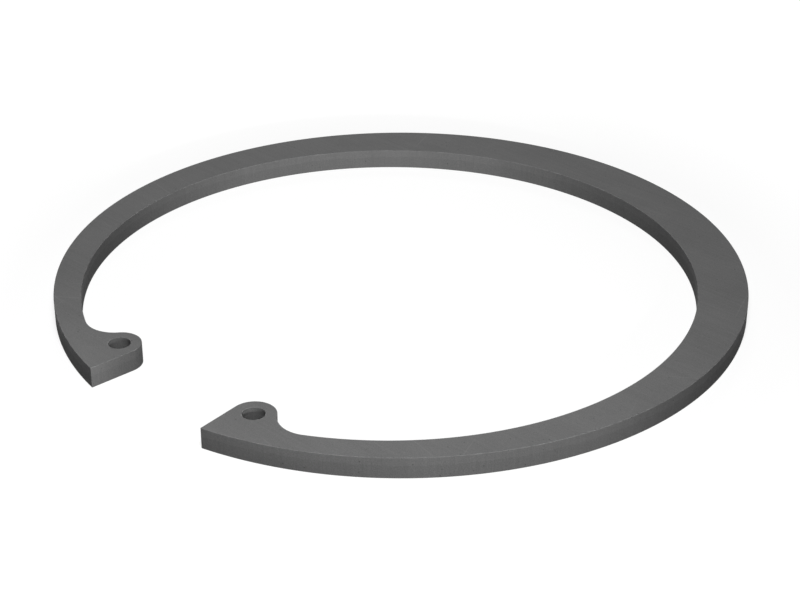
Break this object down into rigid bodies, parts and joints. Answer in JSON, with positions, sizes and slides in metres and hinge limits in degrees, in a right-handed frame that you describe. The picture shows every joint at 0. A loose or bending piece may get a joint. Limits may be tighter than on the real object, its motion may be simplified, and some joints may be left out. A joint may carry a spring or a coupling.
{
  "type": "internal retaining ring",
  "caption": "Flat spring-steel ring for the groove of a bore, tapered from its widest place to two inward lugs with plier holes beside an open gap.",
  "frame": {"origin": "centre of the ring's outer circle, on its lower face", "axes": "+Z along the ring's axis, out of its upper face; the gap and the two lugs are on the -Y side, and the widest place on the +Y side"},
  "size_m": [0.132, 0.1304, 0.004],
  "materials": {
    "spring_steel": "hardened spring steel, phosphated and oiled: dark neutral grey, satin, a little brighter along the broken edges"
  },
  "bodies": {
    "root": {"retaining_ring": "spring_steel"}
  },
  "joints": []
}
